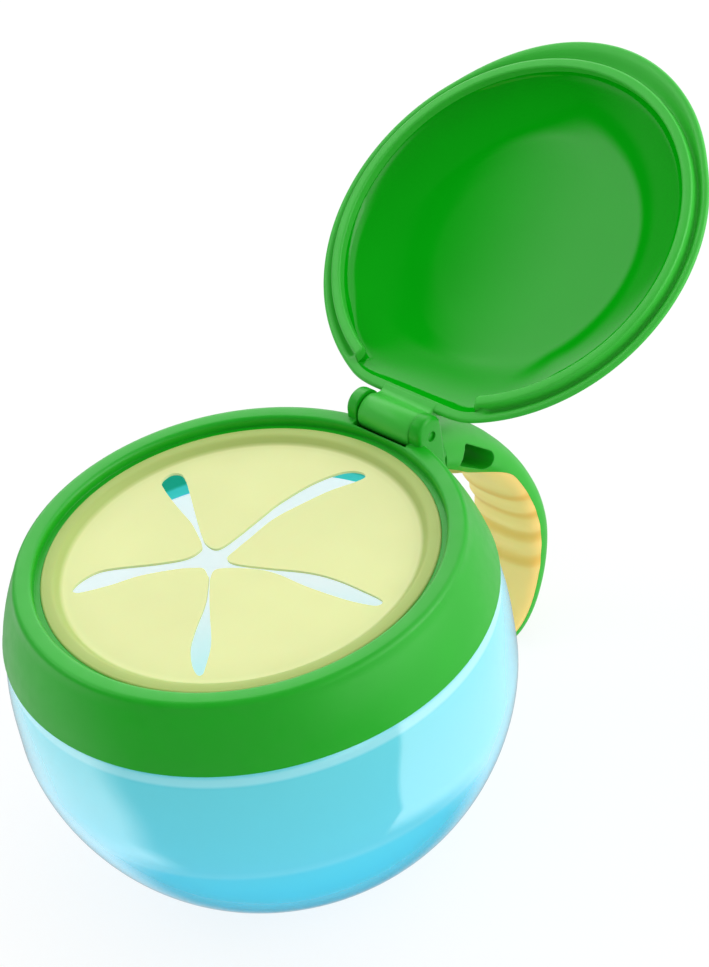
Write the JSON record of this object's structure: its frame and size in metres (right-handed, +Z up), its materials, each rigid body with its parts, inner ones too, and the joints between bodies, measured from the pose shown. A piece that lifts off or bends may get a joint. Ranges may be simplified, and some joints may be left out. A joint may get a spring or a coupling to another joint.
{
  "type": "toddler snack container",
  "caption": "Round handled snack bowl for a toddler with a screw-on collar, a soft slotted valve to reach through and a hinged snap lid.",
  "frame": {"origin": "centre of the bowl's flat base, on the surface it stands on", "axes": "+Z up, -Y to the front where the lid's thumb lip closes, +Y to the hinge and handle, +X along the hinge pin"},
  "size_m": [0.102, 0.1791, 0.1151],
  "materials": {
    "clear_blue": "glossy, see-through pale blue",
    "green": "moulded satin gloss",
    "soft_lime": "soft, cloudy, satin",
    "soft_cream": "soft, matt"
  },
  "bodies": {
    "bowl": {"bowl": "clear_blue"},
    "seal": {"neck_seal": "soft_lime"},
    "collar": {"collar": "green", "hinge_pin": "green", "valve_ring": "soft_lime", "handle": "green", "grip": "soft_cream"},
    "lid": {"lid": "green"},
    "flap_1": {"flap_1": "soft_lime"},
    "flap_2": {"flap_2": "soft_lime"},
    "flap_3": {"flap_3": "soft_lime"},
    "flap_4": {"flap_4": "soft_lime"},
    "flap_5": {"flap_5": "soft_lime"}
  },
  "joints": [
    {"name": "collar_lift", "type": "slide", "parent": "bowl", "child": "seal", "axis": [0, 0, 1], "range_m": [0, 0.006]},
    {"name": "collar_twist", "type": "hinge", "parent": "seal", "child": "collar", "pos_m": [0, 0, 0.056], "axis": [0, 0, 1], "range_deg": [0, 270]},
    {"name": "lid_hinge", "type": "hinge", "parent": "collar", "child": "lid", "pos_m": [0, 0.0462, 0.0705], "axis": [1, 0, 0], "range_deg": [0, 151]},
    {"name": "flap_1_bend", "type": "hinge", "parent": "collar", "child": "flap_1", "pos_m": [0.01737, 0.0183, 0.0663], "axis": [0.7254, -0.6884, 0], "range_deg": [-55, 70], "stiffness_Nm_per_rad": 0.01},
    {"name": "flap_2_bend", "type": "hinge", "parent": "collar", "child": "flap_2", "pos_m": [-0.01318, 0.02151, 0.0663], "axis": [0.8526, 0.5225, 0], "range_deg": [-55, 70], "stiffness_Nm_per_rad": 0.01},
    {"name": "flap_3_bend", "type": "hinge", "parent": "collar", "child": "flap_3", "pos_m": [-0.02527, -0.0063, 0.0663], "axis": [-0.2419, 0.9703, 0], "range_deg": [-55, 70], "stiffness_Nm_per_rad": 0.01},
    {"name": "flap_4_bend", "type": "hinge", "parent": "collar", "child": "flap_4", "pos_m": [-0.00224, -0.02563, 0.0663], "axis": [-0.9962, 0.0872, 0], "range_deg": [-55, 70], "stiffness_Nm_per_rad": 0.01},
    {"name": "flap_5_bend", "type": "hinge", "parent": "collar", "child": "flap_5", "pos_m": [0.02389, -0.01114, 0.0663], "axis": [-0.4226, -0.9063, 0], "range_deg": [-55, 70], "stiffness_Nm_per_rad": 0.01}
  ],
  "couplings": [
    {"joint": "collar_lift", "follows": "collar_twist", "m_per_rad": 0.00127}
  ]
}
